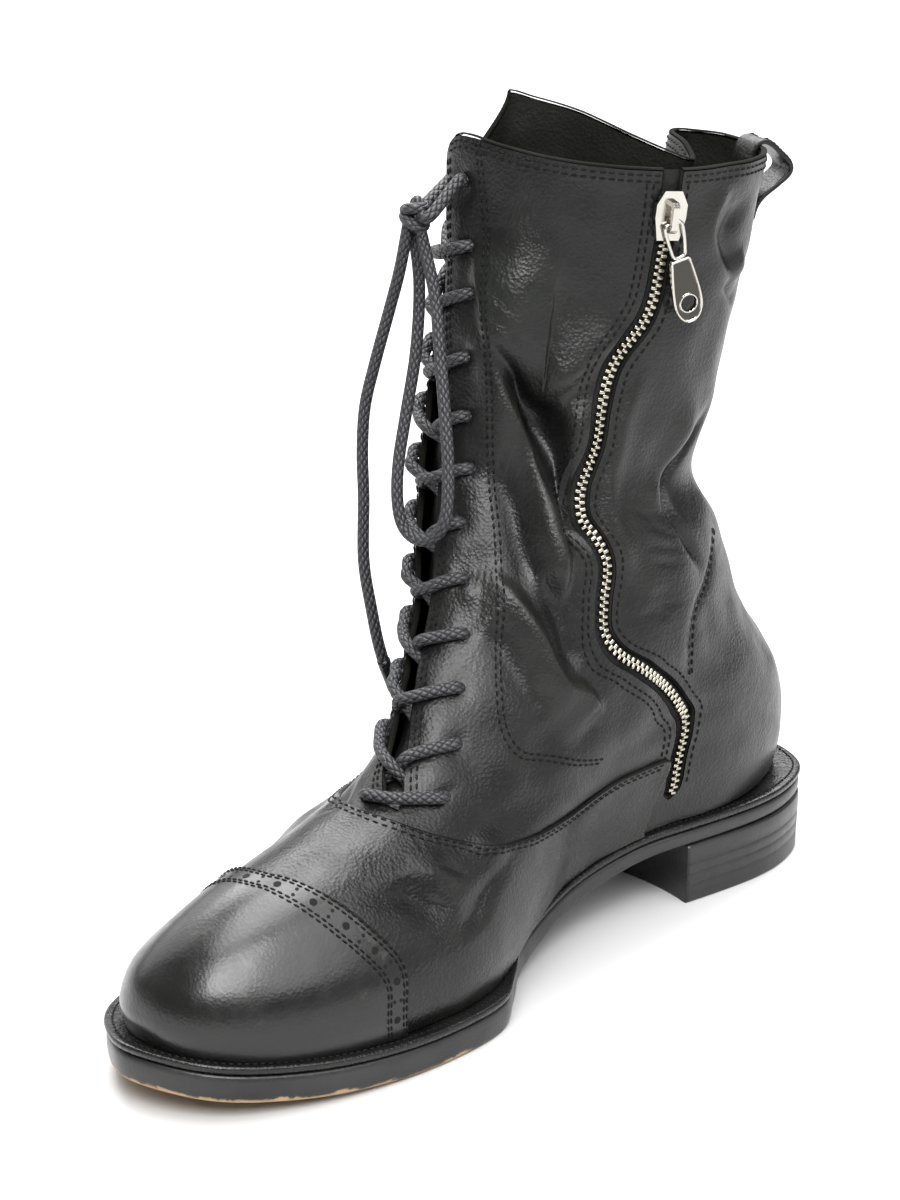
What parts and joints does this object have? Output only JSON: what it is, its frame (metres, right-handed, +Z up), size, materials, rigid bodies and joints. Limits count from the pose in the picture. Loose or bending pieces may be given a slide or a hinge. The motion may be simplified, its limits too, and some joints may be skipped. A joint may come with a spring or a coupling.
{
  "type": "lace-up boot",
  "caption": "Black leather lace-up ankle boot with a toe cap, leather sole and stacked heel, and a metal zip up the inner side.",
  "frame": {"origin": "centre of the boot's box on the floor, under the sole, leaving out the hanging lace and its knot", "axes": "+Z up, -Y towards the toe, +X towards the inner side of the foot, where the zip is"},
  "size_m": [0.1054, 0.3034, 0.2754],
  "materials": {
    "leather": "semi-gloss",
    "sole_leather": "satin",
    "insole": "matte",
    "lace": "waxed",
    "zip_metal": "polished"
  },
  "bodies": {
    "boot": {"heel": "sole_leather", "insole": "insole", "lace_crossings_high": "lace", "lace_crossings_low": "lace", "lace_end": "lace", "lace_knot": "lace", "lace_loop": "lace", "outsole": "sole_leather", "pull_loop": "leather", "toe_cap": "leather", "tongue": "leather", "upper": "leather", "vamp": "leather", "welt": "sole_leather", "zip_chain": "zip_metal", "zip_slider": "zip_metal"},
    "pull": {"zip_pull": "zip_metal"}
  },
  "joints": [
    {"name": "pull_swing", "type": "hinge", "parent": "boot", "child": "pull", "pos_m": [0.03606, 0.05453, 0.24201], "axis": [-0.4508, -0.8603, -0.2379], "range_deg": [0, 130]}
  ]
}
